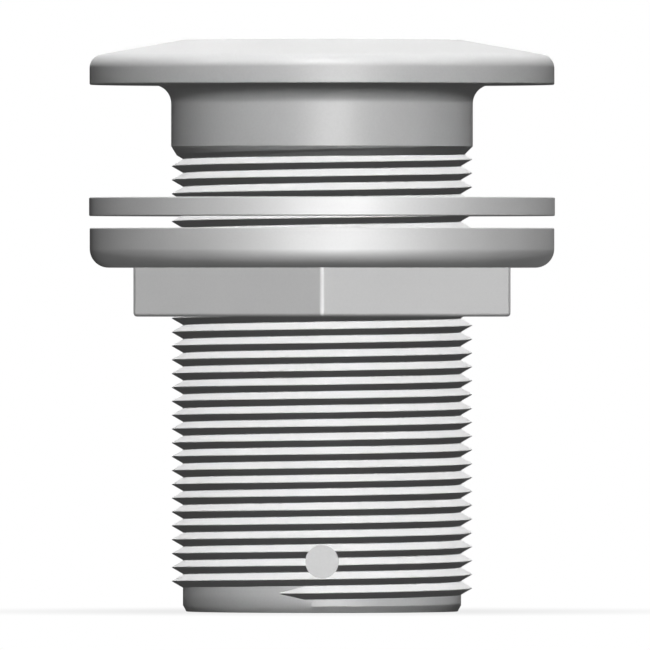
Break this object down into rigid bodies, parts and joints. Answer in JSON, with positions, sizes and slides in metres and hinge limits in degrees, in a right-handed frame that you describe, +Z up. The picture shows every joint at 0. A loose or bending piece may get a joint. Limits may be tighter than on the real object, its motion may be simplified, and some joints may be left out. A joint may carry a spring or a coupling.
{
  "type": "thru hull fitting",
  "caption": "Straight thru-hull fitting: domed flange on a threaded barrel with a bore through it, a flat washer and a collar nut that winds up the barrel.",
  "frame": {"origin": "centre of the barrel's open end, which the fitting stands on", "axes": "+Z up the barrel to the domed flange; -Y is the front, where the barrel's round pad and one corner of the hexagon are; +X is normal to a flat of the hexagon"},
  "size_m": [0.0744, 0.0744, 0.0912],
  "materials": {
    "barrel_nylon": "satin light grey moulded nylon",
    "washer_nylon": "satin light grey moulded nylon",
    "nut_nylon": "satin light grey moulded nylon"
  },
  "bodies": {
    "barrel": {"flanged_barrel": "barrel_nylon"},
    "washer": {"flat_washer": "washer_nylon"},
    "nut": {"collar_nut": "nut_nylon"}
  },
  "joints": [
    {"name": "washer_slide", "type": "slide", "parent": "barrel", "child": "washer", "axis": [0, 0, 1], "range_m": [-0.0469, 0.0109]},
    {"name": "nut_turn", "type": "hinge", "parent": "washer", "child": "nut", "pos_m": [0, 0, 0.054], "axis": [0, 0, 1], "range_deg": [-7630, 1760]}
  ],
  "couplings": [
    {"joint": "washer_slide", "follows": "nut_turn", "m_per_rad": 0.00035152}
  ]
}
